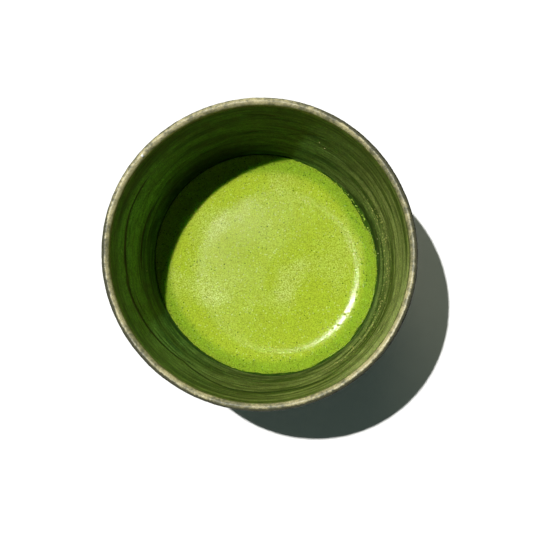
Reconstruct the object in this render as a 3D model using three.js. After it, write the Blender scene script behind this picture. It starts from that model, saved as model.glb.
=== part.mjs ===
// Matcha bowl (chawan) with whisked tea in it.
//
// The bowl is one thrown and trimmed stoneware body under three coats of glaze: one inside, one
// outside that stops above the foot, and a pale band over the lip. The tea lies in the bottom of the
// bowl under a layer of froth. Every piece is turned about one upright axis.
//
// Millimetres, +Z up. The origin is the centre of the foot ring's underside, on the table.

import * as THREE from 'three';

// Overall size, over the glaze
const rimDiameter = 120;
const bowlHeight = 76;

// Wall and lip, over the glaze
const wallThickness = 4.6;
const lipThickness = 3.0;
const glazeThickness = 0.5;
const rimBandWidth = 1.7; // how far the pale band comes down each side of the lip

// Inside: a round well in a flat floor, a rounded corner and a wall that opens to the lip
const cornerDiameter = 94.8; // across the inside, where the corner meets the wall
const cornerRound = 9.2; // height of the rounded corner over the floor
const cornerBreadth = 12.9;
const floorThickness = 4.6;
const wellDiameter = 28;
const wellDepth = 1;
const wellSlope = 3; // breadth of the well's sloping edge
const wallBelly = 1.2; // how far the wall stands outside a straight line, half way up

// Foot ring, trimmed from the clay and left bare
const footDiameter = 54;
const footHeight = 6;
const footWidth = 5.5;
const footTaper = 0.8; // how much narrower the ring is at the table on each side
const footEdge = 0.6; // chamfer where the ring meets the table
const recessDepth = 5; // of the hollow inside the ring
const footFillet = 1.2; // where the ring grows out of the underside
const bareMargin = 1.6; // bare clay left between the ring and the edge of the glaze
const undersideRise = 2.2; // how far the underside climbs from the ring to the heel
const heelRound = 9.5; // height and breadth of the rounded heel under the wall

// Tea and froth
const teaDepth = 7.6; // from the floor of the bowl to the level surface of the froth
const frothThickness = 3;
const frothDome = 0.4; // the middle stands this much above the ring round it
const meniscusRise = 1.8; // the froth climbs this far up the wall
const meniscusWidth = 8;
const meniscusTurn = 3.2; // distance from the wall at which it turns up

// How finely the curves are divided
const turns = 48;
const wallSteps = 6;
const cornerSteps = 4;
const lipSteps = 6;
const frothSteps = 4;

// Heights and radii that follow from the sizes above
const rimRadius = rimDiameter / 2;
const lipRound = lipThickness / 2;
const lipHeight = bowlHeight - lipRound; // centre of the lip's round edge
const lipRadius = rimRadius - lipRound;
const footRadius = footDiameter / 2;
const floorHeight = footHeight + floorThickness;
const cornerRadius = cornerDiameter / 2;
const cornerHeight = floorHeight + cornerRound;
const wellRadius = wellDiameter / 2;
const wellHeight = floorHeight - wellDepth;
const heelRadius = cornerRadius + wallThickness;
const heelHeight = footHeight + undersideRise + heelRound;
const glazeEdgeRadius = footRadius + footFillet + bareMargin;
const teaLevel = floorHeight + teaDepth;
const tideLevel = teaLevel + meniscusRise; // where the froth meets the wall
const frothFloor = teaLevel - frothThickness;
const bandHeight = lipHeight - rimBandWidth;

const at = (radius, height) => new THREE.Vector2(radius, height);
const onAxis = (height) => at(0, height);

// Points of several curves in a row, without repeating the point where two of them meet.
function chain(...stretches) {
  const points = [];
  for (const [curve, steps] of stretches) {
    const run = curve.getPoints(steps);
    points.push(...(points.length ? run.slice(1) : run));
  }
  return points;
}

// A wall between two points that bows outwards by wallBelly half way along.
function bowedWall(start, end) {
  const along = end.clone().sub(start).normalize();
  const outward = at(Math.abs(along.y), -Math.abs(along.x));
  const control = start.clone().lerp(end, 0.5).addScaledVector(outward, 2 * wallBelly);
  return new THREE.QuadraticBezierCurve(start, control, end);
}

// Where the line through a and b meets the line through c and d.
function meeting(a, b, c, d) {
  const along = b.clone().sub(a);
  const other = d.clone().sub(c);
  const reach = c.clone().sub(a).cross(other) / along.cross(other);
  return a.clone().addScaledVector(along, reach);
}

// A rounded corner between a wall's lower end, which leans as the wall does, and a flat's end.
function roundCorner(wallEnd, wallControl, flatEnd, flatStart) {
  const corner = meeting(wallEnd, wallControl, flatEnd, flatStart);
  return new THREE.QuadraticBezierCurve(wallEnd, corner, flatEnd);
}

// Adds a point to a profile wherever it crosses the given height.
function splitAt(points, height) {
  const result = [points[0]];
  for (let i = 1; i < points.length; i += 1) {
    const [a, b] = [points[i - 1], points[i]];
    if ((a.y - height) * (b.y - height) < 0) {
      result.push(a.clone().lerp(b, (height - a.y) / (b.y - a.y)));
    }
    result.push(b);
  }
  return result;
}

// The same profile moved by a depth to its left, which is into the wall when it runs up the outside
// and down the inside. An end on the axis stays on it.
function inset(points, depth) {
  const normals = points.slice(1).map((next, i) => {
    const along = next.clone().sub(points[i]).normalize();
    return at(-along.y, along.x);
  });
  return points.map((point, i) => {
    const before = normals[Math.max(i - 1, 0)];
    const after = normals[Math.min(i, normals.length - 1)];
    const sum = before.clone().add(after);
    const moved = point.clone().addScaledVector(sum, (2 * depth) / sum.lengthSq());
    return point.x === 0 ? onAxis(moved.y) : moved;
  });
}

// The glaze's surface outside: the underside, the rounded heel and the wall up to the lip.
function outsideProfile() {
  const glazeEdge = at(glazeEdgeRadius, footHeight);
  const heelStart = at(heelRadius - heelRound, footHeight + undersideRise);
  const wall = bowedWall(at(heelRadius, heelHeight), at(rimRadius, lipHeight));
  const heel = roundCorner(wall.v0, wall.v1, heelStart, glazeEdge);
  return [glazeEdge, ...heel.getPoints(cornerSteps).reverse(), ...wall.getPoints(wallSteps).slice(1)];
}

// The lip's round edge, from the outside over the top to the inside.
function lipProfile() {
  const edge = new THREE.EllipseCurve(lipRadius, lipHeight, lipRound, lipRound, 0, Math.PI);
  return edge.getPoints(lipSteps);
}

// The glaze's surface inside: the wall down from the lip, the corner, the floor and its well.
function insideProfile() {
  const wall = bowedWall(at(rimRadius - lipThickness, lipHeight), at(cornerRadius, cornerHeight));
  const floorEdge = at(cornerRadius - cornerBreadth, floorHeight);
  const wellEdge = at(wellRadius, floorHeight);
  const corner = roundCorner(wall.v2, wall.v1, floorEdge, wellEdge);
  return [
    ...chain([wall, wallSteps], [corner, cornerSteps]),
    wellEdge,
    at(wellRadius - wellSlope, wellHeight),
    onAxis(wellHeight),
  ];
}

// The bare clay that shows below: the hollow in the foot ring, the ring and its fillet.
function footProfile() {
  const innerRadius = footRadius - footWidth;
  const clayUnderside = footHeight + glazeThickness;
  const taperAt = (height) => footTaper * (1 - height / footHeight);
  return [
    onAxis(recessDepth),
    at(innerRadius, recessDepth),
    at(innerRadius + taperAt(footEdge), footEdge),
    at(innerRadius + footTaper + footEdge, 0),
    at(footRadius - footTaper - footEdge, 0),
    at(footRadius - taperAt(footEdge), footEdge),
    at(footRadius, clayUnderside - footFillet),
    at(footRadius + footFillet, clayUnderside),
  ];
}

// Indexes of a profile's points at a height, in the order that the profile reaches them.
const indexesAt = (points, height) =>
  points.map((point, i) => (Math.abs(point.y - height) < 1e-9 ? i : -1)).filter((i) => i >= 0);

const glazed = [bandHeight, tideLevel, frothFloor].reduce(splitAt, [
  ...outsideProfile(),
  ...lipProfile().slice(1, -1),
  ...insideProfile(),
]);
const clay = inset(glazed, glazeThickness);
const [bandOutside, bandInside] = indexesAt(glazed, bandHeight);
const tideIndex = indexesAt(glazed, tideLevel).at(-1);
const frothFloorIndex = indexesAt(glazed, frothFloor).at(-1);

// A coat of glaze between the clay and the glazed surface, from one point of the profile to another.
function coatProfile(first, last) {
  const points = [...clay.slice(first, last + 1).reverse(), ...glazed.slice(first, last + 1)];
  return glazed[last].x === 0 ? points : [...points, points[0]];
}

// The tea fills the bowl to the underside of the froth.
const teaProfile = () => [...glazed.slice(frothFloorIndex).reverse(), onAxis(frothFloor)];

// The froth is level with a slight dome, and curves up to a thin edge where it wets the wall.
function frothProfile() {
  const shore = glazed[tideIndex];
  const ringRadius = shore.x - meniscusWidth;
  const meniscus = new THREE.QuadraticBezierCurve(
    shore,
    at(shore.x - meniscusTurn, teaLevel),
    at(ringRadius, teaLevel),
  );
  const dome = new THREE.QuadraticBezierCurve(
    at(ringRadius, teaLevel),
    at(ringRadius / 2, teaLevel + frothDome),
    onAxis(teaLevel + frothDome),
  );
  return [
    onAxis(frothFloor),
    ...glazed.slice(tideIndex, frothFloorIndex + 1).reverse(),
    ...chain([meniscus, frothSteps], [dome, frothSteps]).slice(1),
  ];
}

// A solid turned about the upright axis from a profile of radii and heights.
function turned(name, profile, material) {
  const geometry = new THREE.LatheGeometry(profile, turns);
  geometry.rotateX(Math.PI / 2);
  const mesh = new THREE.Mesh(geometry, new THREE.MeshStandardMaterial({ metalness: 0, ...material }));
  mesh.name = name;
  return mesh;
}

const bowl = new THREE.Group();
bowl.add(
  turned('stoneware_body', [...footProfile(), ...clay], { color: 0x4a3f35, roughness: 0.85 }),
  turned('outer_glaze', coatProfile(0, bandOutside), { color: 0x2c3224, roughness: 0.5 }),
  turned('rim_glaze', coatProfile(bandOutside, bandInside), { color: 0xa89f7c, roughness: 0.55 }),
  turned('inner_glaze', coatProfile(bandInside, glazed.length - 1), { color: 0x3c4a22, roughness: 0.4 }),
);

const drink = new THREE.Group();
drink.add(
  turned('tea', teaProfile(), { color: 0x6f9a1c, roughness: 0.2 }),
  turned('froth', frothProfile(), { color: 0xa6c93a, roughness: 0.45 }),
);

const matchaBowl = new THREE.Group();
matchaBowl.add(bowl, drink);

export default matchaBowl;
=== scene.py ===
import math

import bmesh
import bpy
import numpy as np
from mathutils import Euler, Matrix, Vector


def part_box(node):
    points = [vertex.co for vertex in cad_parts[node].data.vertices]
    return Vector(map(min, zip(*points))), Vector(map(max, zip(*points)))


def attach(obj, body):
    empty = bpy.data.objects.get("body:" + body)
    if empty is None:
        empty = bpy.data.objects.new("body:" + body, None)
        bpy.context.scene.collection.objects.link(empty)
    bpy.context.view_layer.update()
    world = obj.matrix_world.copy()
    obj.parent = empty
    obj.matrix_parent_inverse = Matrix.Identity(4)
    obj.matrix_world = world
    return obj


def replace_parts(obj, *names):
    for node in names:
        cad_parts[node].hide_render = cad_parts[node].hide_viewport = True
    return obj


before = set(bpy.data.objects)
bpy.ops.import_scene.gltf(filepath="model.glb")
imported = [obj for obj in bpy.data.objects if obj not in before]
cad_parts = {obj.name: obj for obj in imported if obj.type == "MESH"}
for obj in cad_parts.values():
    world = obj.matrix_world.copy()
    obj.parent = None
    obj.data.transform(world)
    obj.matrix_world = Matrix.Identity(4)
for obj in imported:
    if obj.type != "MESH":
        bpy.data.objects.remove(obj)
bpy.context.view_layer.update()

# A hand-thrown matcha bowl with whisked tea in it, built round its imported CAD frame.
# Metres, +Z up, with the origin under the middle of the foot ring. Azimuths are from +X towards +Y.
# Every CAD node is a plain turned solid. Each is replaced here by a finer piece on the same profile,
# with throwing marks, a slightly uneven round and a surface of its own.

MM = 0.001


# ---------------------------------------------------------------- sizes, from the frame where it has them

def top(node):
    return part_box(node)[1][2]


def bottom(node):
    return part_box(node)[0][2]


def radius(node):
    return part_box(node)[1][0]


RIM_RADIUS = radius("rim_glaze")
BOWL_HEIGHT = top("rim_glaze")
GLAZE = RIM_RADIUS - radius("stoneware_body")  # thickness of every coat
BAND_HEIGHT = bottom("rim_glaze")  # lower edge of the pale band
FOOT_HEIGHT = bottom("outer_glaze")  # underside of the glazed bowl beside the foot
WELL_HEIGHT = bottom("inner_glaze") + GLAZE
FROTH_FLOOR = bottom("froth")
TIDE_HEIGHT = top("froth")  # where the froth meets the wall
TIDE_RADIUS = radius("froth")

LIP_THICKNESS = 3.0 * MM
WALL_BELLY = 1.2 * MM
CORNER_RADIUS = 47.4 * MM  # inside, where the wall meets the corner over the floor
CORNER_ROUND = 9.2 * MM
CORNER_BREADTH = 12.9 * MM
FLOOR_HEIGHT = WELL_HEIGHT + 1.0 * MM
WELL_RADIUS = 14.0 * MM
WELL_SLOPE = 3.0 * MM
HEEL_RADIUS = CORNER_RADIUS + 4.6 * MM
HEEL_ROUND = 9.5 * MM
UNDERSIDE_RISE = 2.2 * MM
FOOT_RADIUS = 27.0 * MM
FOOT_WIDTH = 5.5 * MM
FOOT_TAPER = 0.8 * MM
FOOT_EDGE = 0.6 * MM
FOOT_FILLET = 1.2 * MM
RECESS_DEPTH = 5.0 * MM
BARE_MARGIN = 1.6 * MM
SHORE_HEIGHT = TIDE_HEIGHT + 0.4 * MM  # the froth's edge, drawn up a little more than in the CAD
MENISCUS_RISE = 3.3 * MM
MENISCUS_REACH = 20.0 * MM  # how far from the wall the froth begins to climb
FROTH_DOME = 0.4 * MM
FROTH_LEVEL = SHORE_HEIGHT - MENISCUS_RISE

SEED = 20


# ---------------------------------------------------------------- camera, light and floor

SENSOR_WIDTH = 36.0  # mm
FOCAL_LENGTH = 74.7  # mm
CAMERA_PLACE = (24.3 * MM, -38.0 * MM, BOWL_HEIGHT + 415.6 * MM)
CAMERA_TILT = (math.radians(4.476), math.radians(2.927), 0.0)  # from straight down

SUN_TRAVEL = (0.2641, -0.2136, -1.0)  # the way the light goes
KEY_STRENGTH = 3.9
KEY_SOFTNESS = 0.85  # degrees across
KEY_COLOUR = (1.0, 0.99, 0.97)
SIDE_PLACE = (-0.09, 0.64, 0.22)
SIDE_SIZE = 0.5
SIDE_POWER = 1.15
SIDE_COLOUR = (1.0, 0.95, 0.66)
ZENITH_FILL = 0.036
HORIZON_FILL = 0.21
FILL_COLOUR = (0.7, 1.0, 0.88, 1.0)
FILL_TURN = (0.25, 0.6)  # heights on a unit sphere between which the one gives way to the other


def add_object(name, data):
    made = bpy.data.objects.new(name, data)
    bpy.context.scene.collection.objects.link(made)
    return made


def add_camera():
    data = bpy.data.cameras.new("camera")
    data.sensor_width = SENSOR_WIDTH
    data.lens = FOCAL_LENGTH
    data.clip_start = 0.01
    camera = add_object("camera", data)
    camera.location = CAMERA_PLACE
    camera.rotation_euler = Euler(CAMERA_TILT, "XYZ")
    bpy.context.scene.camera = camera


def add_key_light():
    data = bpy.data.lights.new("key_light", "SUN")
    data.energy = KEY_STRENGTH
    data.angle = math.radians(KEY_SOFTNESS)
    data.color = KEY_COLOUR
    x, y, z = SUN_TRAVEL
    turn = (0.0, math.atan2(-math.hypot(x, y), -z), math.atan2(y, x))
    add_object("key_light", data).rotation_euler = Euler(turn, "XYZ")


def add_side_light():
    """A large, weak, low card at the far side, which lifts the cast shadow and the wall that faces it."""
    data = bpy.data.lights.new("side_light", "AREA")
    data.shape = "DISK"
    data.size = SIDE_SIZE
    data.energy = SIDE_POWER
    data.color = SIDE_COLOUR
    light = add_object("side_light", data)
    light.location = SIDE_PLACE
    light.rotation_euler = (-Vector(SIDE_PLACE)).to_track_quat("-Z", "Y").to_euler()


def add_fill_light():
    """A plain surround, paler round the horizon than overhead, so that the outside gets soft light."""
    world = bpy.data.worlds.new("studio")
    world.use_nodes = True
    bpy.context.scene.world = world
    tree = world.node_tree
    coords = tree.nodes.new("ShaderNodeTexCoord")
    split = tree.nodes.new("ShaderNodeSeparateXYZ")
    height = tree.nodes.new("ShaderNodeMapRange")
    height.interpolation_type = "SMOOTHSTEP"
    height.inputs["From Min"].default_value = FILL_TURN[0]
    height.inputs["From Max"].default_value = FILL_TURN[1]
    height.inputs["To Min"].default_value = HORIZON_FILL
    height.inputs["To Max"].default_value = ZENITH_FILL
    tree.links.new(coords.outputs["Generated"], split.inputs[0])
    tree.links.new(split.outputs["Z"], height.inputs["Value"])
    background = tree.nodes["Background"]
    background.inputs["Color"].default_value = FILL_COLOUR
    tree.links.new(height.outputs["Result"], background.inputs["Strength"])


# ---------------------------------------------------------------- node materials

class Look:
    """A node material being put together round its Principled shader."""

    def __init__(self, name, **values):
        self.material = bpy.data.materials.new(name)
        self.material.use_nodes = True
        self.tree = self.material.node_tree
        self.shader = self.tree.nodes["Principled BSDF"]
        for socket, value in values.items():
            self.shader.inputs[socket.replace("_", " ")].default_value = value
        self.coords = self.node("ShaderNodeTexCoord").outputs["Object"]

    def node(self, kind, inputs=(), **settings):
        made = self.tree.nodes.new(kind)
        for name, value in settings.items():
            setattr(made, name, value)
        for socket, value in dict(inputs).items():
            self.feed(made.inputs[socket], value)
        return made

    def feed(self, socket, value):
        if isinstance(value, bpy.types.NodeSocket):
            self.tree.links.new(value, socket)
        else:
            socket.default_value = value

    def attribute(self, name):
        return self.node("ShaderNodeAttribute", attribute_name=name).outputs["Fac"]

    def stretched(self, across, up):
        """Coordinates for a pattern with so many cells a metre round the bowl and up it."""
        scale = (across, across, up)
        return self.node("ShaderNodeVectorMath", {0: self.coords, 1: scale}, operation="MULTIPLY").outputs[0]

    def tilted(self):
        """Coordinates turned askew, so that a level surface doesn't lie along a pattern's own grid."""
        inputs = {"Vector": self.coords, "Axis": (1.0, 0.4, 0.2), "Angle": 0.7}
        return self.node("ShaderNodeVectorRotate", inputs).outputs["Vector"]

    def noise(self, vector, scale=1.0, detail=3.0, roughness=0.55, distortion=0.0):
        inputs = {"Vector": vector, "Scale": scale, "Detail": detail, "Roughness": roughness}
        inputs["Distortion"] = distortion
        return self.node("ShaderNodeTexNoise", inputs).outputs["Fac"]

    def cells(self, vector, scale, feature="F1", output="Distance"):
        inputs = {"Vector": vector, "Scale": scale}
        return self.node("ShaderNodeTexVoronoi", inputs, feature=feature).outputs[output]

    def ramp(self, value, low, high, start=0.0, end=1.0, smooth=True):
        kind = "SMOOTHSTEP" if smooth else "LINEAR"
        inputs = {"Value": value, "From Min": low, "From Max": high, "To Min": start, "To Max": end}
        return self.node("ShaderNodeMapRange", inputs, interpolation_type=kind).outputs["Result"]

    def spread(self, noise, start, end):
        """A noise's usual run, which is 0.3 to 0.7, drawn out evenly from one value to another."""
        return self.ramp(noise, 0.3, 0.7, start, end, smooth=False)

    def math(self, operation, a, b=0.0):
        return self.node("ShaderNodeMath", {0: a, 1: b}, operation=operation).outputs[0]

    def mix(self, factor, a, b):
        made = self.node("ShaderNodeMix", data_type="RGBA")
        self.feed(made.inputs["Factor"], factor)
        for socket, value in (("A", a), ("B", b)):
            target = next(s for s in made.inputs if s.name == socket and s.type == "RGBA")
            self.feed(target, (*value, 1.0) if isinstance(value, tuple) else value)
        return next(s for s in made.outputs if s.type == "RGBA")

    def scaled(self, colour, factor):
        return self.node("ShaderNodeVectorMath", {0: colour, "Scale": factor}, operation="SCALE").outputs[0]

    def colour(self, value):
        self.feed(self.shader.inputs["Base Color"], value)

    def rough(self, value):
        self.feed(self.shader.inputs["Roughness"], value)

    def bump(self, height, distance, strength=1.0, under=None):
        inputs = {"Height": height, "Distance": distance, "Strength": strength}
        if under is not None:
            inputs["Normal"] = under
        normal = self.node("ShaderNodeBump", inputs).outputs["Normal"]
        self.feed(self.shader.inputs["Normal"], normal)
        return normal


def floor_look():
    look = Look("pale_floor", Roughness=0.8)
    grain = look.noise(look.coords, 140.0, 4.0)
    look.colour(look.mix(look.ramp(grain, 0.3, 0.7), (0.89, 0.89, 0.89), (0.91, 0.91, 0.91)))
    return look.material


def inner_glaze_look():
    """Olive glaze, brushed out in streaks round the wall, with painted light and shade: a greener copy on
    the side in shade, darker painted shade, and a paler stretch where the sun strikes.
    """
    look = Look("inner_glaze", Roughness=0.5, Specular_IOR_Level=0.1)
    streak = look.attribute("streak")
    brushed = look.noise(look.stretched(70.0, 1500.0), detail=3.0, roughness=0.6)
    grain = look.noise(look.coords, 1600.0, 2.0, 0.6)
    mottle = look.noise(look.stretched(220.0, 600.0), detail=3.0)
    specks = look.cells(look.coords, 900.0)
    chosen = look.ramp(look.cells(look.coords, 900.0, output="Color"), 0.36, 0.3)
    # Lit and shaded copies of the glaze: olive for the sunlit side, and a greener copy painted on the side
    # in shade.
    warm = look.mix(look.ramp(streak, 0.1, 0.9), (0.045, 0.075, 0.012), (0.215, 0.255, 0.075))
    green = look.mix(look.ramp(streak, 0.1, 0.9), (0.024, 0.115, 0.026), (0.14, 0.345, 0.056))
    # thin paints light where the sun strikes the wall, green picks the shaded copy, and thick paints shade
    # darker.
    thin = look.mix(look.attribute("thin"), warm, (0.33, 0.38, 0.13))
    both = look.mix(look.attribute("green"), thin, green)
    thick = look.mix(look.attribute("thick"), both, (0.008, 0.027, 0.004))
    deep = look.mix(look.ramp(look.attribute("relief"), 0.44, 0.16), thick, (0.018, 0.036, 0.006))
    sand = look.math("MULTIPLY", look.attribute("sand"), look.ramp(specks, 0.42, 0.3))
    sandy = look.mix(look.math("MULTIPLY", sand, chosen), deep, (0.62, 0.58, 0.2))
    wet = look.mix(look.attribute("wet"), sandy, (0.02, 0.045, 0.005))
    mottled = look.scaled(wet, look.spread(mottle, 0.6, 1.4))
    toned = look.scaled(mottled, look.spread(brushed, 0.7, 1.3))
    look.colour(look.scaled(toned, look.spread(grain, 0.5, 1.5)))
    look.rough(look.ramp(brushed, 0.3, 0.7, 0.44, 0.62))
    fine = look.bump(brushed, 0.03 * MM)
    look.bump(grain, 0.02 * MM, under=fine)
    return look.material


def rim_glaze_look():
    """The same glaze, drawn thin over the lip, where it breaks to beige between two dark edges, with a
    painted sheen on two stretches of the beige.
    """
    look = Look("rim_glaze", Roughness=0.4, Specular_IOR_Level=0.4)
    mottle = look.noise(look.coords, 700.0, 3.0, 0.6)
    grain = look.noise(look.coords, 2600.0, 2.0, 0.6)
    place = look.math("ADD", look.attribute("across"), look.spread(mottle, -0.06, 0.06))
    bead_and_sheen = look.math("ADD", look.attribute("bead_and_sheen"), look.spread(mottle, -0.22, 0.22))
    # bead holds paler lengths of glaze and a painted sheen on two stretches of the lip.
    pale = look.mix(look.ramp(bead_and_sheen, 0.2, 0.8), (0.125, 0.125, 0.065), (0.44, 0.395, 0.205))
    edged = look.mix(look.ramp(place, 0.24, 0.38), pale, (0.07, 0.07, 0.028))
    lined = look.mix(look.ramp(place, 0.36, 0.48), edged, (0.02, 0.026, 0.008))
    inside = look.mix(look.ramp(place, 0.62, 0.8), lined, (0.07, 0.085, 0.024))
    shoulder = look.mix(look.ramp(place, -0.2, -0.32), inside, (0.075, 0.075, 0.045))
    outside = look.mix(look.ramp(place, -0.5, -0.58), shoulder, (0.008, 0.01, 0.007))
    lower = look.mix(look.ramp(place, -0.7, -0.9), outside, (0.035, 0.037, 0.02))
    look.feed(look.shader.inputs["Specular IOR Level"], look.ramp(place, -0.4, -0.2, 0.03, 0.4))
    look.colour(look.scaled(lower, look.spread(grain, 0.7, 1.3)))
    look.rough(look.ramp(mottle, 0.3, 0.7, 0.5, 0.36))
    look.bump(grain, 0.015 * MM)
    return look.material


def outer_glaze_look():
    """Grey green glaze in brushed streaks, rubbed paler on its ridges and spotted with iron."""
    look = Look("outer_glaze", Roughness=0.45, Specular_IOR_Level=0.4)
    clouds = look.noise(look.stretched(30.0, 60.0), detail=5.0)
    streaks = look.noise(look.stretched(40.0, 900.0), detail=4.0, roughness=0.65)
    grain = look.noise(look.coords, 1200.0, 3.0, 0.65)
    specks = look.cells(look.coords, 420.0)
    sizes = look.cells(look.coords, 420.0, output="Color")
    olive = look.mix(look.ramp(clouds, 0.35, 0.68), (0.02, 0.026, 0.012), (0.055, 0.062, 0.028))
    rubbed = look.mix(look.ramp(look.attribute("relief"), 0.55, 1.0), olive, (0.14, 0.125, 0.065))
    streaked = look.mix(look.ramp(streaks, 0.52, 0.72, 0.0, 0.7), rubbed, (0.1, 0.1, 0.05))
    iron = look.math("MULTIPLY", look.ramp(specks, 0.3, 0.12), look.ramp(sizes, 0.6, 0.8))
    spotted = look.mix(iron, streaked, (0.012, 0.01, 0.007))
    look.colour(look.scaled(spotted, look.spread(grain, 0.6, 1.4)))
    look.rough(look.ramp(grain, 0.3, 0.7, 0.34, 0.6))
    fine = look.bump(streaks, 0.12 * MM)
    look.bump(grain, 0.06 * MM, under=fine)
    return look.material


def clay_look():
    """Bare brown stoneware, gritty and spotted with iron."""
    look = Look("stoneware", Roughness=0.88, Specular_IOR_Level=0.25)
    grit = look.noise(look.coords, 900.0, 5.0, 0.65)
    clouds = look.noise(look.coords, 60.0, 3.0)
    iron = look.cells(look.coords, 800.0)
    clay = look.mix(look.ramp(clouds, 0.35, 0.65), (0.135, 0.085, 0.05), (0.2, 0.135, 0.085))
    gritty = look.mix(look.ramp(grit, 0.45, 0.7), clay, (0.27, 0.2, 0.14))
    look.colour(look.mix(look.ramp(iron, 0.2, 0.08), gritty, (0.03, 0.02, 0.014)))
    look.rough(look.ramp(grit, 0.3, 0.7, 0.8, 0.95))
    look.bump(grit, 0.2 * MM)
    return look.material


def tea_look():
    """Clouded liquid, dark partly in its own colour and partly as painted shade for the narrow gap where it
    shows.
    """
    look = Look("tea", Roughness=0.55, Specular_IOR_Level=0.02)
    clouds = look.noise(look.coords, 260.0, 4.0)
    look.colour(look.mix(look.ramp(clouds, 0.35, 0.7), (0.02, 0.05, 0.004), (0.045, 0.1, 0.008)))
    look.rough(look.ramp(clouds, 0.3, 0.7, 0.45, 0.6))
    look.bump(clouds, 0.05 * MM)
    return look.material


def froth_look():
    """Fine bubbles: pale where the froth is thick and where a sheen is painted on the sunward side, a
    wetter, deeper green where it thins by the wall.

    Its highlights are drawn out round the bowl."""
    look = Look("froth", Roughness=0.2, Specular_IOR_Level=0.075, Anisotropic=0.9)
    around = look.node("ShaderNodeTangent", direction_type="RADIAL", axis="Z")
    look.feed(look.shader.inputs["Tangent"], around.outputs["Tangent"])
    look.shader.subsurface_method = "BURLEY"
    look.feed(look.shader.inputs["Subsurface Weight"], 0.8)
    look.feed(look.shader.inputs["Subsurface Radius"], (0.6, 1.2, 0.4))
    look.feed(look.shader.inputs["Subsurface Scale"], 3.2 * MM)
    place = look.tilted()
    bubbles = look.cells(place, 1500.0)
    sizes = look.cells(place, 1500.0, output="Color")
    grain = look.noise(place, 1900.0, 2.0, 0.7)
    patches = look.noise(place, 45.0, 3.0, 0.5, 0.6)
    # The cream attribute is thicker froth in places and painted sheen on the sunward side near the shaded
    # edge.
    mixed = look.math("ADD", look.attribute("cream_sheen"), look.ramp(patches, 0.3, 0.7, -0.25, 0.25))
    cream_sheen = look.math("MULTIPLY", mixed, look.ramp(grain, 0.35, 0.65, 0.3, 1.7))
    thick = look.mix(look.ramp(cream_sheen, 0.0, 1.0), (0.325, 0.432, 0.026), (0.44, 0.53, 0.128))
    reach = look.attribute("reach")
    thin = look.mix(look.ramp(reach, 0.85, 0.93), thick, (0.215, 0.345, 0.019))
    films = look.math("MULTIPLY", look.ramp(bubbles, 0.6, 0.3), look.ramp(sizes, 0.24, 0.16))
    bright = look.math("MULTIPLY", films, look.ramp(reach, 0.95, 0.8, 0.1, 0.35))
    filmed = look.mix(bright, thin, (0.6, 0.65, 0.3))
    sized = look.math("ADD", sizes, look.ramp(reach, 0.8, 0.95, 0.0, 0.07))
    small = look.math("MULTIPLY", look.ramp(bubbles, 0.5, 0.3), look.ramp(sized, 0.88, 0.91))
    dotted = look.mix(small, filmed, (0.05, 0.12, 0.004))
    pitted = look.mix(look.attribute("pit"), dotted, (0.07, 0.16, 0.006))
    look.colour(look.scaled(pitted, look.spread(grain, 0.64, 1.36)))
    rough = look.ramp(grain, 0.35, 0.65, 0.05, 0.2)
    look.rough(look.math("MAXIMUM", rough, look.attribute("pit")))
    fine = look.bump(grain, 0.06 * MM, look.ramp(reach, 0.6, 0.76, 1.0, 0.4))
    look.bump(small, -0.03 * MM, under=fine)
    return look.material


def bubble_look():
    """Wet, glossy bubbles of the froth's own greens."""
    look = Look("bubbles", Roughness=0.12, Specular_IOR_Level=0.3)
    tone = look.noise(look.coords, 1400.0, 2.0)
    look.colour(look.mix(look.ramp(tone, 0.35, 0.65), (0.09, 0.2, 0.01), (0.3, 0.42, 0.05)))
    look.rough(look.ramp(tone, 0.3, 0.7, 0.08, 0.2))
    look.bump(tone, 0.01 * MM)
    return look.material


# ---------------------------------------------------------------- profiles, as rows of (radius, height)

def bezier(start, control, end, steps):
    t = np.linspace(0.0, 1.0, steps + 1)[:, None]
    start, control, end = map(np.array, (start, control, end))
    return (1 - t) ** 2 * start + 2 * t * (1 - t) * control + t ** 2 * end


def meeting(a, b, c, d):
    """Where the line through a and b meets the line through c and d."""
    along, other, gap = np.subtract(b, a), np.subtract(d, c), np.subtract(c, a)
    reach = (gap[0] * other[1] - gap[1] * other[0]) / (along[0] * other[1] - along[1] * other[0])
    return np.add(a, along * reach)


def wall_control(start, end):
    """The control point that bows a wall outwards by WALL_BELLY half way up."""
    along = np.subtract(end, start) / np.linalg.norm(np.subtract(end, start))
    return np.add(start, end) / 2 + 2 * WALL_BELLY * np.array((abs(along[1]), -abs(along[0])))


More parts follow.
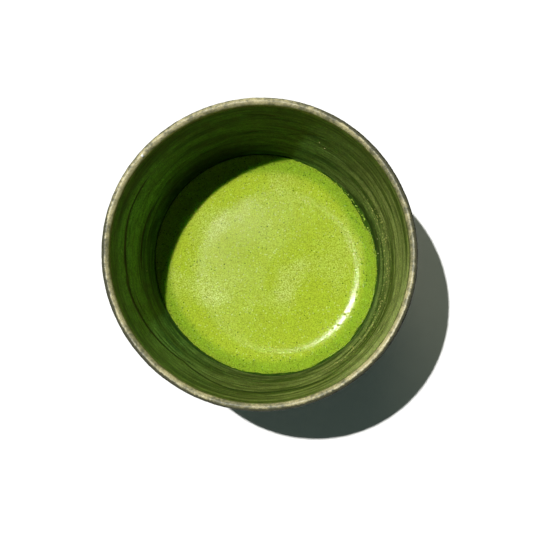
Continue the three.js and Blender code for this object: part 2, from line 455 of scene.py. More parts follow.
def glazed_profile():
    """The glazed surface, from its edge by the foot, up the outside, over the lip and down inside."""
    curve_steps = 60
    lip_round = LIP_THICKNESS / 2
    lip_height = BOWL_HEIGHT - lip_round
    glaze_edge = (FOOT_RADIUS + FOOT_FILLET + BARE_MARGIN, FOOT_HEIGHT)
    heel_start = (HEEL_RADIUS - HEEL_ROUND, FOOT_HEIGHT + UNDERSIDE_RISE)
    heel_end = (HEEL_RADIUS, heel_start[1] + HEEL_ROUND)
    rim_outside = (RIM_RADIUS, lip_height)
    outside_control = wall_control(heel_end, rim_outside)
    heel_control = meeting(glaze_edge, heel_start, heel_end, outside_control)
    rim_inside = (RIM_RADIUS - LIP_THICKNESS, lip_height)
    corner_start = (CORNER_RADIUS, FLOOR_HEIGHT + CORNER_ROUND)
    inside_control = wall_control(rim_inside, corner_start)
    corner_end = (CORNER_RADIUS - CORNER_BREADTH, FLOOR_HEIGHT)
    corner_control = meeting(corner_start, inside_control, corner_end, (WELL_RADIUS, FLOOR_HEIGHT))
    turn = np.linspace(0.0, math.pi, curve_steps + 1)
    lip = np.column_stack((np.cos(turn), np.sin(turn))) * lip_round + (RIM_RADIUS - lip_round, lip_height)
    well_control = (WELL_RADIUS - WELL_SLOPE / 2, FLOOR_HEIGHT)
    well_end = (WELL_RADIUS - WELL_SLOPE, WELL_HEIGHT)
    return np.vstack((
        [glaze_edge],
        bezier(heel_start, heel_control, heel_end, curve_steps),
        bezier(heel_end, outside_control, rim_outside, curve_steps)[1:],
        lip[1:],
        bezier(rim_inside, inside_control, corner_start, curve_steps)[1:],
        bezier(corner_start, corner_control, corner_end, curve_steps)[1:],
        bezier((WELL_RADIUS, FLOOR_HEIGHT), well_control, well_end, curve_steps),
        [(0.0, WELL_HEIGHT)],
    ))


class Profile:
    """A smooth run of points that can be read at any distance along it."""

    def __init__(self, points):
        self.points = points
        steps = np.linalg.norm(np.diff(points, axis=0), axis=1)
        self.distance = np.concatenate(([0.0], np.cumsum(steps)))
        self.length = self.distance[-1]
        along = np.diff(points, axis=0) / steps[:, None]
        corners = np.vstack((along[:1], along[1:] + along[:-1], along[-1:]))
        corners /= np.linalg.norm(corners, axis=1)[:, None]
        self.normals = np.column_stack((corners[:, 1], -corners[:, 0]))

    def read(self, distance):
        """Radius, height and the outward normal's two parts at each distance."""
        columns = (*self.points.T, *self.normals.T)
        return [np.interp(distance, self.distance, column) for column in columns]

    def reach(self, height, last=False):
        """The distance at which the profile first, or last, crosses a height."""
        above = self.points[:, 1] > height
        crossings = np.nonzero(above[1:] != above[:-1])[0]
        i = crossings[-1 if last else 0]
        share = (height - self.points[i, 1]) / (self.points[i + 1, 1] - self.points[i, 1])
        return self.distance[i] + share * (self.distance[i + 1] - self.distance[i])


GLAZED = Profile(glazed_profile())
BAND_OUTSIDE = GLAZED.reach(BAND_HEIGHT)
BAND_INSIDE = GLAZED.reach(BAND_HEIGHT, last=True)
SHORE = GLAZED.reach(SHORE_HEIGHT, last=True)
TEA_FLOOR_EDGE = GLAZED.reach(FROTH_FLOOR, last=True)


# ---------------------------------------------------------------- the hand-made round

def smooth(value, low, high):
    t = np.clip((value - low) / (high - low), 0.0, 1.0)
    return t * t * (3 - 2 * t)


def ring_noise(angle, place, width, length, seed):
    """Smooth noise from -1 to 1 round the bowl. A cell is width (radians) by length (metres)."""
    columns = max(3, round(2 * math.pi / width))
    u = np.mod(angle, 2 * math.pi) / (2 * math.pi) * columns
    v = place / length - math.floor(np.min(place) / length)
    rows = int(np.max(v)) + 2
    table = np.random.default_rng(SEED + seed).uniform(-1.0, 1.0, (rows, columns))
    i, j = np.floor(v).astype(int), np.floor(u).astype(int) % columns
    fv, fu = smooth(v - np.floor(v), 0.0, 1.0), smooth(u - np.floor(u), 0.0, 1.0)
    right = (j + 1) % columns
    low = table[i, j] * (1 - fu) + table[i, right] * fu
    high = table[i + 1, j] * (1 - fu) + table[i + 1, right] * fu
    return low * (1 - fv) + high * fv


OVAL = 1.1 * MM  # how far the lower wall is drawn out along one line across
OVAL_AZIMUTH = math.radians(139.0)
LIP_WAVES = ((2, 0.34, -27.6), (3, 0.16, 61.0), (4, 0.08, -21.5))  # times round, mm, azimuth in degrees
LEAN_AZIMUTH = math.radians(135.0)  # the side where the lip is lowest


def out_of_round(angle, height):
    """How far the hand-thrown wall stands outside its true round at an azimuth and height."""
    low = smooth(height, FOOT_HEIGHT, 18 * MM) * (1 - smooth(height, 22 * MM, 66 * MM))
    high = smooth(height, 35 * MM, 70 * MM)
    oval = OVAL * np.cos(2 * (angle - OVAL_AZIMUTH)) * low
    return oval + high * sum(
        size * MM * np.cos(times * (angle - math.radians(azimuth))) for times, size, azimuth in LIP_WAVES
    )


def lip_dip(angle, height):
    """How far the lip rises and falls: it leans a little to one side, and its edge isn't quite level."""
    lean = -0.7 * MM * np.cos(angle - LEAN_AZIMUTH) - 0.2 * MM
    wave = 0.15 * MM * np.cos(2 * (angle + 0.7)) + 0.1 * MM * np.sin(5 * angle + 1.0)
    return (lean + wave) * smooth(height, 30 * MM, 75 * MM)


def ring_points(radii, heights, angles):
    """World points from radii, heights and azimuths."""
    return np.stack((radii * np.cos(angles), radii * np.sin(angles), heights + 0 * angles), axis=-1)


def placed(radii, heights, angles):
    """World points from radii, heights and azimuths, with the bowl's unevenness."""
    out = radii + out_of_round(angles, heights) * smooth(radii, 5 * MM, 30 * MM)
    return ring_points(out, heights + lip_dip(angles, heights), angles)


# ---------------------------------------------------------------- meshes

def finish_piece(name, mesh, work, material):
    """A smooth piece that rides on the bowl's one body, from a mesh and the work done on it."""
    for face in work.faces:
        face.smooth = True
    work.to_mesh(mesh)
    work.free()
    mesh.materials.append(material)
    piece = add_object(name, mesh)
    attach(piece, "root")
    return piece


def add_piece(name, points, faces, material, node, attributes=()):
    """A welded, closed piece from points and faces, in place of a CAD node."""
    mesh = bpy.data.meshes.new(name)
    mesh.from_pydata(points.reshape(-1, 3).tolist(), [], faces)
    for key, values in dict(attributes).items():
        layer = mesh.attributes.new(key, "FLOAT", "POINT")
        layer.data.foreach_set("value", np.asarray(values, dtype=np.float32).ravel())
    work = bmesh.new()
    work.from_mesh(mesh)
    bmesh.ops.remove_doubles(work, verts=work.verts, dist=1e-7)
    if work.calc_volume(signed=True) < 0:
        bmesh.ops.reverse_faces(work, faces=work.faces)
    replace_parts(finish_piece(name, mesh, work, material), node)


def ring_faces(rows, columns, closed):
    """Quads between rows of points round the axis, and between the last row and the first if closed."""
    faces = []
    for i in range(rows if closed else rows - 1):
        below, above = i * columns, (i + 1) % rows * columns
        faces += [
            (below + j, below + (j + 1) % columns, above + (j + 1) % columns, above + j)
            for j in range(columns)
        ]
    return faces


def azimuths(columns):
    return np.linspace(0.0, 2 * math.pi, columns, endpoint=False)[None, :]


COAT_BACK_ROWS = 30  # about how many rows the hidden back of a coat has


def coat(name, start, end, rows, columns, relief, material, slot, extra=()):
    """A glaze coat over a stretch of the profile, from the clay out to a worked surface.

    start and end give the distance along the profile at each azimuth, relief the height of the
    surface over the plain profile, and extra the functions that make its other attributes."""
    angles = azimuths(columns)
    share = np.linspace(0.0, 1.0, rows)[:, None]
    front = start(angles) + (end(angles) - start(angles)) * share
    marks = relief(front, angles)
    stride = max(1, rows // COAT_BACK_ROWS)
    back = front[::stride]
    if len(back) * stride != rows:
        back = np.vstack((back, front[-1:]))
    radii, heights, out, up = GLAZED.read(front)
    surface = placed(radii + out * marks, heights + up * marks, angles + 0 * front)
    radii, heights, out, up = GLAZED.read(back[::-1])
    radii = np.where(radii < 1e-6, 0.0, radii - out * GLAZE)
    inner = placed(radii, heights - up * GLAZE, angles + 0 * back)
    points = np.concatenate((surface, inner))
    faces = ring_faces(len(points), columns, closed=True)
    blank = np.zeros(inner.shape[:2])
    attributes = {"relief": np.concatenate((0.5 + marks / (0.8 * MM), blank + 0.5))}
    for key, make in dict(extra).items():
        attributes[key] = np.concatenate((make(front, angles + 0 * front), blank))
    add_piece(name, points, faces, material, slot, attributes)


def band_edge(place, seed):
    """A wandering edge at a place on the profile."""
    return lambda angles: place + 0.2 * MM * ring_noise(angles, 0 * angles, 0.12, MM, seed)


def at_end(angles):
    return GLAZED.length + 0 * angles


def glaze_line(angles):
    """The lower edge of the outer coat, where the glaze stopped in a soft, uneven roll."""
    return 0.9 * MM + 0.8 * MM * ring_noise(angles, 0 * angles, 0.5, MM, 31)


# Grooves in the inner wall: (azimuth in degrees, height in mm) along each, then depth and width in mm
GROOVES = (
    (((-175, 55), (-150, 50), (-128, 44), (-104, 50), (-80, 47), (-55, 49)), 0.35, 1.3),
    (((-172, 49), (-146, 44), (-124, 41), (-100, 43)), 0.2, 0.8),
    (((-145, 40), (-126, 38)), 0.25, 0.5),
    (((140, 57), (160, 57), (178, 54), (195, 51)), 0.3, 1.6),
    (((150, 35), (165, 36), (185, 35)), 0.25, 0.9),
    (((85, 45), (100, 43), (127, 42)), 0.22, 0.9),
    (((56, 56), (69, 50), (80, 42), (95, 43)), 0.2, 0.7),
    (((70, 60), (82, 61), (104, 67)), 0.22, 0.9),
    (((-85, 47), (-70, 40), (-55, 41), (-35, 50), (-18, 64)), 0.16, 0.8),
    (((30, 32), (50, 30), (72, 28)), -0.18, 0.7),
    (((124, 66), (136, 66)), 0.35, 1.2),
)


def grooves(angles, heights):
    """How deep the grooves cut at each azimuth and height. They fade out at both ends."""
    depth = np.zeros(np.broadcast(angles, heights).shape)
    ease = 0.15
    for places, deep, wide in GROOVES:
        course = np.radians([a for a, _ in places])
        levels = np.array([h for _, h in places]) * MM
        turn = np.mod(angles - course[0], 2 * math.pi) + course[0]
        centre = np.interp(turn, course, levels)
        fade = smooth(turn, course[0], course[0] + ease) * (1 - smooth(turn, course[-1] - ease, course[-1]))
        depth += deep * MM * fade * np.exp(-(((heights - centre) / (wide * MM)) ** 2))
    return depth


def wandered(distance, angles, sway):
    """Distances along the profile that rise and fall round the bowl, as throwing rings do."""
    return distance + sway * (np.sin(angles - 1.0) + 0.4 * np.sin(2 * angles + 0.6))


def inside_relief(distance, angles):
    """Throwing rings, brushed striations and grooves on the inner wall."""
    heights = GLAZED.read(distance)[1]
    course = wandered(distance, angles, 1.1 * MM)
    rings = 0.12 * ring_noise(angles, course, 1.2, 4.4 * MM, 1)
    rings += 0.1 * ring_noise(angles, course, 0.8, 2.0 * MM, 2)
    lines = 0.07 * ring_noise(angles, course, 0.5, 0.9 * MM, 3)
    lines += 0.04 * ring_noise(angles, course, 0.3, 0.5 * MM, 4)
    calm = 0.35 + 0.65 * smooth(ring_noise(angles, distance, 0.9, 14 * MM, 5), -0.4, 0.5)
    high = 1 - 0.75 * smooth(heights, 60 * MM, 68 * MM)
    marks = (rings + lines * calm) * MM * high - grooves(angles, heights)
    edge = smooth(GLAZED.length - distance, 2 * MM, 20 * MM) * smooth(distance - BAND_INSIDE, 0.0, 1.5 * MM)
    return marks * edge


def streaks(distance, angles):
    """How pale the glaze is brushed out, from 0 to 1, in long streaks round the wall; part way up it is
    paler on the side in shade, as painted light, and paler and duller at two other sides.
    """
    course = wandered(distance, angles, 1.1 * MM)
    tone = 0.5 + 0.4 * ring_noise(angles, course, 0.6, 3.4 * MM, 14)
    tone += 0.36 * ring_noise(angles, course, 0.35, 1.6 * MM, 15)
    tone += 0.26 * ring_noise(angles, course, 0.2, 0.8 * MM, 16)
    heights = GLAZED.read(distance)[1]
    waist = smooth(heights, 34 * MM, 44 * MM) * (1 - smooth(heights, 58 * MM, 68 * MM))
    # Painted light: the middle of the wall on the side in shade is painted paler.
    tone += 0.65 * waist * smooth(np.cos(angles - math.pi), 0.3, 1.0)
    tone += 0.22 * waist * smooth(np.cos(angles - NOTCH_AZIMUTH), 0.5, 1.0)
    return tone - 0.14 * waist * smooth(np.cos(angles - DULL_AZIMUTH), 0.6, 1.0)


# The side of the inner wall in shade, painted with a greener copy of the glaze as shade.
SHADED_SIDE_AZIMUTH = math.radians(150.0)
# Painted shade darkens the top wall and, higher up, the side in shade under the lip; the middle azimuth
# marks a darker run.
TOP_SHADE_AZIMUTH = math.radians(90.0)
NEAR_DARK_AZIMUTH = math.radians(-125.0)
HIGH_SHADE_AZIMUTH = math.radians(165.0)
DULL_AZIMUTH = math.radians(-60.0)
NOTCH_AZIMUTH = math.radians(18.0)  # where the froth has drawn back from the wall
# The side that the sun strikes most squarely, where light is painted paler under the lip.
SUNLIT_AZIMUTH = math.radians(-32.0)
WIDE_AZIMUTH = math.radians(115.0)  # where the pale band on the lip is widest
INWARDS = 0.2  # how far the pale band lies inside the lip's crown, of half the coat's width


def shade_and_damp_green(distance, angles):
    """Painted shade colour: green, not olive, on the side of the inner wall in shade, standing in for green
    light thrown back from the froth, and a little on the damp low wall.
    """
    return np.maximum(smooth(np.cos(angles - SHADED_SIDE_AZIMUTH), -0.5, 0.7), 0.25 * damp(distance, angles))


def damp(distance, angles):
    """The low stretch of wall beside the gap in the froth, darker and greener than the rest."""
    heights = GLAZED.read(distance)[1]
    return smooth(np.cos(angles), 0.5, 1.0) * (1 - smooth(heights, 26 * MM, 38 * MM))


def sandy(distance, angles):
    """A band of sandy specks on the wall over the shore, on one side."""
    heights = GLAZED.read(distance)[1]
    side = np.mod(angles + math.pi, 2 * math.pi) - math.pi
    across = np.exp(-(((heights - 33 * MM) / (6 * MM)) ** 2))
    return across * smooth(side, math.radians(-75), math.radians(-40)) * (1 - smooth(side, 0.4, 0.7))


def wetted(distance, angles):
    """Wet green wall just over the shore."""
    heights = GLAZED.read(distance)[1]
    tide = TIDE_HEIGHT + 0.9 * MM * ring_noise(angles, 0 * angles, 0.25, MM, 9)
    tide += 5 * MM * smooth(np.cos(angles - NOTCH_AZIMUTH), 0.86, 1.0)
    return (1 - smooth(heights, tide, tide + 1.6 * MM)) * 0.8


def painted_sun_paleness(distance, angles):
    """A smooth, paler stretch just under the lip: painted light, on the side where the sun strikes the wall
    most squarely.
    """
    heights = GLAZED.read(distance)[1]
    side = smooth(np.cos(angles - SUNLIT_AZIMUTH), 0.8, 1.0)
    return 0.95 * side * smooth(heights, 58 * MM, 68 * MM)


def darkening_and_painted_shade(distance, angles):
    """How much darker the inner wall is painted: painted shade on the top wall, under the lip on the side in
    shade and low down there by the froth, a darker run on one side, and the damp low wall.
    """
    heights = GLAZED.read(distance)[1]
    # near is a darker run on one side; far, high and low are painted shade on the top wall, under the lip on
    # the side in shade, and low down there by the froth.
    near = smooth(np.cos(angles - NEAR_DARK_AZIMUTH), 0.5, 1.0)
    far = smooth(np.cos(angles - TOP_SHADE_AZIMUTH), 0.3, 1.0)
    high = smooth(np.cos(angles - HIGH_SHADE_AZIMUTH), 0.6, 1.0) * smooth(heights, 60 * MM, 70 * MM)
    low = smooth(np.cos(angles - SHADED_SIDE_AZIMUTH), 0.2, 1.0) * (1 - smooth(heights, 24 * MM, 42 * MM))
    total = 0.56 * far + 0.35 * near + 0.55 * high + 0.6 * low + 0.35 * damp(distance, angles)
    return np.clip(total, 0.0, 1.0)


def outside_relief(distance, angles):
    """Broad throwing rings and finer marks on the outside, and the glaze's rolled lower edge."""
    slope = wandered(distance, angles, 1.6 * MM)
    rings = 0.22 * ring_noise(angles, slope, 1.5, 5.0 * MM, 11)
    rings += 0.1 * ring_noise(angles, slope, 0.9, 2.2 * MM, 12)
    rings += 0.04 * ring_noise(angles, slope, 0.4, 0.8 * MM, 13)
    rings *= MM * smooth(BAND_OUTSIDE - distance, 0.0, 4 * MM) * smooth(distance, 8 * MM, 16 * MM)
    above_line = distance - glaze_line(angles)
    roll = 0.12 * MM * np.exp(-(((above_line - 1.0 * MM) / (0.9 * MM)) ** 2))
    return rings + roll - 0.3 * MM * (1 - smooth(above_line, 0.0, 1.2 * MM))


def rim_relief(distance, angles):
    """Small lumps and pits in the thin glaze on the lip."""
    lumps = 0.05 * ring_noise(angles, distance, 0.03, 1.2 * MM, 21)
    lumps += 0.035 * ring_noise(angles, distance, 0.012, 0.6 * MM, 22)
    ends = smooth(distance - BAND_OUTSIDE, 0.0, 1.0 * MM) * smooth(BAND_INSIDE - distance, 0.0, 1.0 * MM)
    return lumps * MM * ends


def across_lip(distance, angles):
    """From -1 at the pale band's outer edge, through 0 on the lip's crown, to 1 at its inner edge."""
    middle = (BAND_OUTSIDE + BAND_INSIDE) / 2
    drift = 0.07 * ring_noise(angles, 0 * angles, 0.45, MM, 23)
    drift += 0.04 * ring_noise(angles, 0 * angles, 0.1, MM, 24)
    place = (distance - middle) / (BAND_INSIDE - BAND_OUTSIDE) * 2 + drift
    wide = smooth(np.cos(angles - WIDE_AZIMUTH), 0.4, 1.0)
    return place + (0.22 * smooth(-place, 0.0, 0.2) - 0.05 * smooth(place, 0.0, 0.2)) * wide - INWARDS


def bead_tone_and_sheen(distance, angles):
    """Paler lengths of glaze strung along the lip, from 0 to 1, and a painted sheen on two stretches where
    the lip catches the light.
    """
    # Painted sheen on two stretches of the lip.
    painted_sheen = 0.35 * np.exp(14.0 * (np.cos(angles + 0.6) - 1.0))
    painted_sheen += 0.2 * np.exp(3.0 * (np.cos(angles - 2.4) - 1.0))
    long = 0.15 * ring_noise(angles, distance, 0.3, 20 * MM, 25)
    return 0.42 + painted_sheen + long + 0.2 * ring_noise(angles, distance, 0.055, 3 * MM, 26)


def add_coats():
    band_out, band_in = band_edge(BAND_OUTSIDE, 41), band_edge(BAND_INSIDE, 42)
    coat("glaze_outside", glaze_line, band_out, 240, 360, outside_relief, outer_glaze_look(), "outer_glaze")
    coat(
        "glaze_rim", band_out, band_in, 48, 900, rim_relief, rim_glaze_look(), "rim_glaze",
        {"across": across_lip, "bead_and_sheen": bead_tone_and_sheen},
    )
    painted = {"streak": streaks, "green": shade_and_damp_green, "thick": darkening_and_painted_shade, "thin": painted_sun_paleness}
    painted |= {"sand": sandy, "wet": wetted}
    inside = inner_glaze_look()
    coat("glaze_inside", band_in, at_end, 250, 360, inside_relief, inside, "inner_glaze", painted)


def foot_profile():
    inner = FOOT_RADIUS - FOOT_WIDTH
    clay_underside = FOOT_HEIGHT + GLAZE
    fillet = bezier(
        (FOOT_RADIUS, clay_underside - FOOT_FILLET),
        (FOOT_RADIUS, clay_underside),
        (FOOT_RADIUS + FOOT_FILLET, clay_underside),
        8,
    )
    return np.vstack((
        [(0.0, RECESS_DEPTH), (inner - MM, RECESS_DEPTH), (inner, RECESS_DEPTH - 0.6 * MM)],
        [(inner + FOOT_TAPER, FOOT_EDGE), (inner + FOOT_TAPER + FOOT_EDGE, 0.0)],
        [(FOOT_RADIUS - FOOT_TAPER - FOOT_EDGE, 0.0), (FOOT_RADIUS - FOOT_TAPER, FOOT_EDGE)],
        fillet,
    ))


def add_clay():
    """The fired body, with its trimmed foot and the clay under all the coats."""
    columns, spacing = 360, 0.4 * MM
    radii, heights, out, up = GLAZED.read(np.linspace(0.0, GLAZED.length, 300))
    clay = np.column_stack((np.where(radii < 1e-6, 0.0, radii - out * GLAZE), heights - up * GLAZE))
    run = Profile(np.vstack((foot_profile(), clay)))
    foot_end = GLAZED.distance[0] + Profile(foot_profile()).length + 6 * MM
    places = np.concatenate((
        np.arange(0.0, foot_end, spacing),
        np.linspace(foot_end, run.length, 110),
    ))[:, None]
    angles = azimuths(columns)
    radii, heights, out, up = run.read(places + 0 * angles)
    turned = 0.06 * ring_noise(angles, wandered(places, angles, 0.5 * MM), 1.2, 1.3 * MM, 51)
    turned += 0.03 * ring_noise(angles, places + 0 * angles, 0.05, 0.8 * MM, 52)
    seat = smooth(heights, 0.0, 0.8 * MM) * (1 - smooth(places, foot_end - 4 * MM, foot_end))
    marks = turned * MM * seat * smooth(radii, 1 * MM, 4 * MM)
    points = placed(radii + out * marks, heights + up * marks, angles + 0 * places)
    faces = ring_faces(len(points), columns, closed=False)
    add_piece("clay_body", points, faces, clay_look(), "stoneware_body")


LIP_GRAIN_HEIGHT = 75.0  # mm: a grain above this sits on the lip's crown

# Grains and a white speck set in the glaze: azimuth in degrees, height and size in mm, and colour
GRAINS = (
    # A white speck on the lip's crown.
    (140.0, 75.9, 1.2, (0.93, 0.94, 0.92)),
    (-176.0, 30.0, 0.45, (0.6, 0.6, 0.3)),
    (61.0, 43.0, 0.35, (0.75, 0.72, 0.3)),
    (12.0, 25.0, 0.4, (0.6, 0.6, 0.28)),
    (5.0, 22.0, 0.4, (0.55, 0.6, 0.25)),
    (64.0, 46.0, 0.3, (0.6, 0.55, 0.2)),
)


def grain_look(name, colour):
    look = Look(name, Roughness=0.45)
    tone = look.noise(look.coords, 2500.0, 2.0)
    look.colour(look.mix(look.ramp(tone, 0.35, 0.65), tuple(0.7 * part for part in colour), colour))
    look.rough(look.ramp(tone, 0.3, 0.7, 0.35, 0.6))
    look.bump(tone, 0.03 * MM)
    return look.material


def lumpy_ball(centre, size, seed):
    """A small ball with soft lumps."""
    work = bmesh.new()
    bmesh.ops.create_icosphere(work, subdivisions=3, radius=size / 2)
    waves = np.random.default_rng(seed).normal(0.0, 1.0, (4, 3))
    for vertex in work.verts:
        lumps = sum(math.sin(3 * float(np.dot(wave, vertex.co.normalized())) + 1) for wave in waves)
        vertex.co = Vector(centre) + vertex.co * (1 + 0.06 * lumps)
    return work


def add_grains():
    """Small, uneven lumps half sunk in the inner wall and the lip."""
    crown = (BAND_OUTSIDE + BAND_INSIDE) / 2 + 0.5 * MM
    for k, (azimuth, height, size, colour) in enumerate(GRAINS):
        name = f"grain_{k + 1}"
        on_lip = height > LIP_GRAIN_HEIGHT
        place = crown if on_lip else GLAZED.reach(height * MM, last=True)
        radii, heights, _, _ = GLAZED.read(np.array([place]))
        centre = placed(radii, heights, np.array([math.radians(azimuth)]))[0]
        work = lumpy_ball(centre, size * MM, SEED + 80 + k)
        finish_piece(name, bpy.data.meshes.new(name), work, grain_look(name, colour))


# ---------------------------------------------------------------- tea and froth

def wall_inside(angles, height):
    """The inner wall's radius at an azimuth and height."""
    return GLAZED.read(GLAZED.reach(height, last=True))[0] + out_of_round(angles, height)


def shore_gap(angles):
    """How far the froth stops short of the wall: a ragged edge with one wider stretch."""
    gap = 0.5 + 0.25 * ring_noise(angles, 0 * angles, 0.2, MM, 61)
    gap += 0.12 * ring_noise(angles, 0 * angles, 0.05, MM, 62)
    gap += 0.08 * ring_noise(angles, 0 * angles, 0.022, MM, 63)
    side = np.mod(angles + math.pi, 2 * math.pi) - math.pi
    notch = smooth(side, math.radians(16), math.radians(19)) * (1 - smooth(side, 0.5, 1.0))
    closed = 0.85 * smooth(np.cos(angles - SHADED_SIDE_AZIMUTH), 0.2, 0.8)
    return np.maximum(gap * (1 - closed) - 0.15 * closed + 0.9 * notch, -0.1) * MM


def surface_height(radii, angles):
    """The tea's surface: a slight dome, and a climb to the wall."""
    wall = wall_inside(angles, SHORE_HEIGHT)
    climb = MENISCUS_RISE * np.clip(1 - (wall - radii) / MENISCUS_REACH, 0.0, 1.0) ** 3
    dome = FROTH_DOME * (1 - smooth(radii / wall, 0.0, 0.9))
    return FROTH_LEVEL + climb + dome


# Rings of the tea's edge: how far from the wall and how far under the froth's surface, in mm
TEA_EDGE = ((0.25, 0.12), (0.6, 0.16), (1.6, 0.3), (3.0, 0.6))


def add_tea():
    """The liquid, which shows only as a dark line between the froth and the wall."""
    columns = 480
    angles = azimuths(columns)
    under = np.linspace(GLAZED.length, TEA_FLOOR_EDGE, 24)
    wet = np.linspace(TEA_FLOOR_EDGE, SHORE - 0.4 * MM, 8)[1:]
    radii, heights, out, up = GLAZED.read(np.concatenate((under, wet))[:, None] + 0 * angles)
    shell = placed(radii, heights, angles + 0 * radii)
    wall = wall_inside(angles, SHORE_HEIGHT)
    rings = []
    for inset, drop in TEA_EDGE:
        ring = wall - inset * MM
        rings.append(ring_points(ring, surface_height(ring, angles) - drop * MM, angles))
    flat = [ring_points(share * wall, FROTH_FLOOR, angles) for share in (0.9, 0.5, 0.0)]
    points = np.concatenate((shell, *rings, *flat))
    add_piece("tea_liquid", points, ring_faces(len(points), columns, False), tea_look(), "tea")


SHORE_BUBBLES = 70


def add_shore_bubbles():
    """Small bubbles strung along the gap where the froth has drawn back from the wall."""
    random = np.random.default_rng(SEED + 75)
    work = bmesh.new()
    for _ in range(SHORE_BUBBLES):
        angle = random.normal(NOTCH_AZIMUTH, math.radians(16))
        size = random.uniform(0.22, 0.5) ** 1.2 * MM
        away = wall_inside(np.array([angle]), SHORE_HEIGHT)[0] - random.uniform(0.35, 1.2) * MM
        height = SHORE_HEIGHT - random.uniform(0.2, 0.5) * MM
        place = Matrix.Translation((away * math.cos(angle), away * math.sin(angle), height))
        bmesh.ops.create_icosphere(work, subdivisions=2, radius=size, matrix=place)
    finish_piece("shore_bubbles", bpy.data.meshes.new("shore_bubbles"), work, bubble_look())


def square_disc(steps):
    """A square grid of points pressed into a disc of radius 1: polar places of even, square cells."""
    a, b = np.meshgrid(np.linspace(-1, 1, steps + 1), np.linspace(-1, 1, steps + 1))
    reach = np.maximum(np.abs(a), np.abs(b))
    wide = np.abs(a) >= np.abs(b)
    with np.errstate(divide="ignore", invalid="ignore"):
        angle = np.where(wide, math.pi / 4 * b / a + np.where(a < 0, math.pi, 0.0),
                         math.pi / 2 - math.pi / 4 * a / b + np.where(b < 0, math.pi, 0.0))
    return reach, np.nan_to_num(angle)


# Open bubbles: how many, from what share of the froth's radius to what share, and their sizes
PITS = ((260, 0.84, 0.985, 0.2, 0.45), (160, 0.0, 0.86, 0.18, 0.36))


def bubble_pits(x, y, edge):
    """Open bubbles in the froth: how deep they sink it, and how much each point lies in one."""
    random = np.random.default_rng(SEED + 70)
    depth, inside = np.zeros(x.shape), np.zeros(x.shape)
    for count, low, high, small, large in PITS:
        for _ in range(count):
            angle = random.uniform(0.0, 2 * math.pi)
            reach = math.sqrt(random.uniform(low ** 2, high ** 2)) * edge
            size = random.uniform(small, large) ** 1.3 * MM
            away = np.hypot(x - reach * math.cos(angle), y - reach * math.sin(angle)) / size
            hole = np.clip(1 - away ** 2, 0.0, 1.0)
            depth = np.maximum(depth, 0.55 * size * np.sqrt(hole))
            inside = np.maximum(inside, smooth(hole, 0.0, 0.5))
    return depth, inside


THIN_FROTH_AZIMUTH = math.radians(128.0)  # where the thin, green edge of the froth is widest

# Patches of paler froth, partly thicker froth and partly painted sheen on the sunward side: azimuth in
# degrees, then distance from the middle, spread and strength
CREAM_SHEEN_PATCHES = (
    (158, 28, 9, 0.15), (185, 30, 9, 0.3), (130, 26, 8, 0.3), (95, 30, 8, 0.25),
    (-38, 9, 5, 0.4), (-60, 16, 5, 0.35), (215, 27, 7, 0.3), (0, 14, 4, 0.25),
)


def cream_with_painted_sheen(x, y):
    """How pale the froth is painted, from 0 to 1: thicker whisked froth, and a painted sheen on the sunward
    side.
    """
    total = 0 * x
    for azimuth, away, spread, strength in CREAM_SHEEN_PATCHES:
        turn = math.radians(azimuth)
        far = np.hypot(x - away * MM * math.cos(turn), y - away * MM * math.sin(turn))
        total += strength * np.exp(-((far / (spread * MM)) ** 2))
    return np.clip(total, 0.0, 1.0)


def grid_faces(steps):
    """The squares of a grid with so many steps each way."""
    side = steps + 1
    return [
        (row * side + j, row * side + j + 1, (row + 1) * side + j + 1, (row + 1) * side + j)
        for row in range(steps)
        for j in range(steps)
    ]


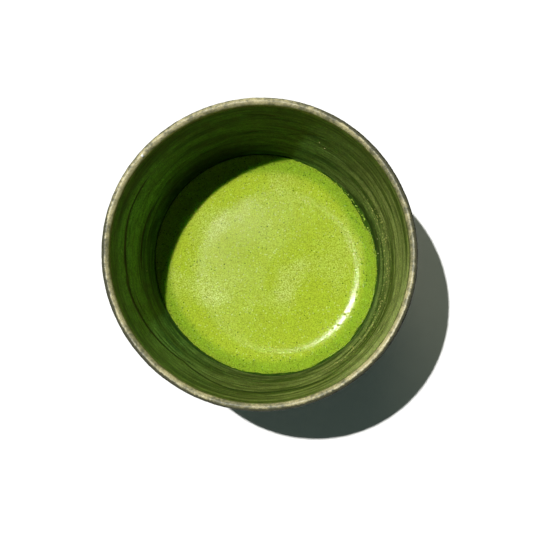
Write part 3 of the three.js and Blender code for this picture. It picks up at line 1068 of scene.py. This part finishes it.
def grid_border(steps):
    """The grid's outermost points, in order round it."""
    side = steps + 1
    border = list(range(steps))
    border += [row * side + steps for row in range(steps)]
    border += [steps * side + j for j in range(steps, 0, -1)]
    return border + [row * side for row in range(steps, 0, -1)]


def close_below(faces, border, first):
    """Adds faces from a border down to a ring of points, which start at first, and on to their middle."""
    middle = first + len(border)
    for k, here in enumerate(border):
        after = (k + 1) % len(border)
        faces.append((here, first + k, first + after, border[after]))
        faces.append((first + k, middle, first + after))


FROTH_STEPS = 296


def add_froth():
    """The froth's pitted surface, closed below by a plain underside inside the tea."""
    reach, angles = square_disc(FROTH_STEPS)
    radii = reach * (wall_inside(angles, SHORE_HEIGHT) - shore_gap(angles))
    x, y = radii * np.cos(angles), radii * np.sin(angles)
    pit, inside = bubble_pits(x, y, TIDE_RADIUS)
    heights = surface_height(radii, angles) - pit - 0.12 * MM * smooth(reach, 0.992, 1.0)
    surface = np.stack((x, y, heights), axis=-1).reshape(-1, 3)
    faces, border = grid_faces(FROTH_STEPS), grid_border(FROTH_STEPS)
    rim_angles = angles.reshape(-1)[border]
    floor_edge = GLAZED.read(TEA_FLOOR_EDGE)[0] - 0.6 * MM + out_of_round(rim_angles, FROTH_FLOOR)
    under = ring_points(floor_edge, FROTH_FLOOR, rim_angles)
    close_below(faces, border, len(surface))
    points = np.concatenate((surface, under, [[0.0, 0.0, FROTH_FLOOR]]))
    outwards = reach + 0.06 * smooth(np.cos(angles - THIN_FROTH_AZIMUTH), 0.3, 1.0)
    marks = {"pit": inside, "reach": outwards, "cream_sheen": cream_with_painted_sheen(x, y)}
    blank = np.zeros(len(under) + 1)
    attributes = {key: np.concatenate((values.reshape(-1), blank)) for key, values in marks.items()}
    add_piece("froth_surface", points, faces, froth_look(), "froth", attributes)


# ---------------------------------------------------------------- the whole

def add_floor():
    bpy.ops.mesh.primitive_plane_add(size=6.0, location=(0.0, 0.0, -0.0002))
    floor = bpy.context.active_object
    floor.name = "floor"
    floor.data.materials.append(floor_look())


bpy.context.scene.view_settings.view_transform = "Standard"
add_camera()
add_key_light()
add_side_light()
add_fill_light()
add_floor()
add_clay()
add_coats()
add_grains()
add_tea()
add_froth()
add_shore_bubbles()
